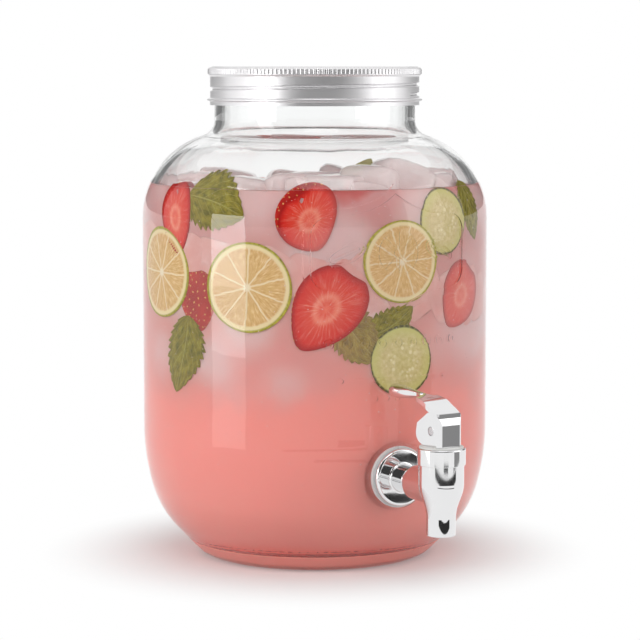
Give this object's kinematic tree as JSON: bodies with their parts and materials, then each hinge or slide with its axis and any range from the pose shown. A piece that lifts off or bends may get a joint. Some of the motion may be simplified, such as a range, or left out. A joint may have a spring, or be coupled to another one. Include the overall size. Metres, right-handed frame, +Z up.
{
  "type": "beverage dispenser",
  "caption": "Round-shouldered glass jar with a screw-on metal lid and a chrome lever tap on a flanged shank near its foot.",
  "frame": {"origin": "on the jar's axis at the table plane, 1.5 mm under the flat of the foot's shallow hollow", "axes": "+Z up along the jar's axis, -Y from the jar's axis towards the tap, +X to the right of someone facing the tap"},
  "size_m": [0.1784, 0.2338, 0.2525],
  "materials": {
    "jar_glass": "clear moulded soda-lime glass",
    "lid_metal": "satin silver, rolled and knurled",
    "gasket_foam": "white foamed liner ring",
    "chrome": "polished plated metal",
    "stainless": "turned stainless steel",
    "nylon": "natural white nylon",
    "silicone": "clear-white silicone"
  },
  "bodies": {
    "jar": {"glass_jar": "jar_glass", "spigot_body": "chrome", "bonnet_ring": "chrome", "guide_bushing": "nylon", "return_spring": "stainless", "seat_cup": "silicone", "outer_washer": "silicone", "inner_washer": "silicone", "backing_washer": "stainless", "lock_nut": "stainless"},
    "lid_seal": {"lid_gasket": "gasket_foam"},
    "lid": {"lid_shell": "lid_metal"},
    "swivel": {"cam_washer": "nylon"},
    "stem": {"valve_stem": "stainless", "lever_pin": "stainless"},
    "lever": {"lever": "chrome"}
  },
  "joints": [
    {"name": "lid_rise", "type": "slide", "parent": "jar", "child": "lid_seal", "axis": [0, 0, 1], "range_m": [0, 0.04065]},
    {"name": "lid_turn", "type": "hinge", "parent": "lid_seal", "child": "lid", "pos_m": [0, 0, 0.24], "axis": [0, 0, 1], "range_deg": [0, 2880]},
    {"name": "lever_swivel", "type": "hinge", "parent": "jar", "child": "swivel", "pos_m": [0, -0.133, 0.0725], "axis": [0, 0, 1], "continuous": true},
    {"name": "valve_lift", "type": "slide", "parent": "swivel", "child": "stem", "axis": [0, 0, 1], "range_m": [0, 0.00275], "deforming": ["return_spring", "seat_cup"]},
    {"name": "lever_press", "type": "hinge", "parent": "stem", "child": "lever", "pos_m": [0, -0.133, 0.0805], "axis": [-0.9903, -0.1392, 0], "range_deg": [0, 35], "stiffness_Nm_per_rad": 0.0243, "springref_deg": -50.94}
  ],
  "couplings": [
    {"joint": "lid_rise", "follows": "lid_turn", "m_per_rad": 0.00080851},
    {"joint": "valve_lift", "follows": "lever_press", "m_per_rad": 0.0045}
  ]
}
